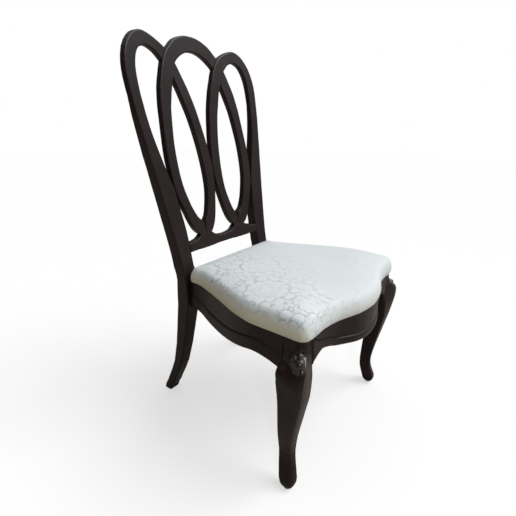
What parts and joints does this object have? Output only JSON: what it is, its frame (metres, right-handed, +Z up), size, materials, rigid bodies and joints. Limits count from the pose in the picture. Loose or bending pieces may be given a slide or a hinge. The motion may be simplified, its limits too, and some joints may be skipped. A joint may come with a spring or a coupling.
{
  "type": "dining side chair",
  "caption": "Armless dining chair with an open back of interlaced loops and ovals, cabriole front legs, scalloped aprons and an upholstered slip seat.",
  "frame": {"origin": "centre of the footprint on the floor", "axes": "+Z up, -Y the way the sitter faces, +X the sitter's left"},
  "size_m": [0.6004, 0.6448, 1.092],
  "materials": {
    "ebonised_wood": "satin",
    "bare_wood": "matte",
    "damask": "woven damask",
    "foam": "open foam",
    "cambric": "matte",
    "steel": "zinc plated"
  },
  "bodies": {
    "root": {"rear_post_left": "ebonised_wood", "rear_post_right": "ebonised_wood", "crest_left_arch": "ebonised_wood", "crest_middle_arch": "ebonised_wood", "crest_right_arch": "ebonised_wood", "strand_left_outer": "ebonised_wood", "strand_left_inner": "ebonised_wood", "strand_right_inner": "ebonised_wood", "strand_right_outer": "ebonised_wood", "back_cross_rail": "ebonised_wood", "seat_back_rail": "ebonised_wood", "side_rail_left": "ebonised_wood", "side_rail_right": "ebonised_wood", "front_rail": "ebonised_wood", "front_leg_left": "ebonised_wood", "front_leg_right": "ebonised_wood", "block_front_left": "bare_wood", "block_front_right": "bare_wood", "block_rear_left": "bare_wood", "block_rear_right": "bare_wood", "block_screws": "steel", "seat_screws": "steel", "seat_rail_dowels": "bare_wood", "back_dowels": "bare_wood", "foot_dowels": "bare_wood", "seat_board": "bare_wood", "seat_foam": "foam", "seat_cover": "damask", "dust_cover": "cambric", "foot_glides": "steel"}
  },
  "joints": []
}
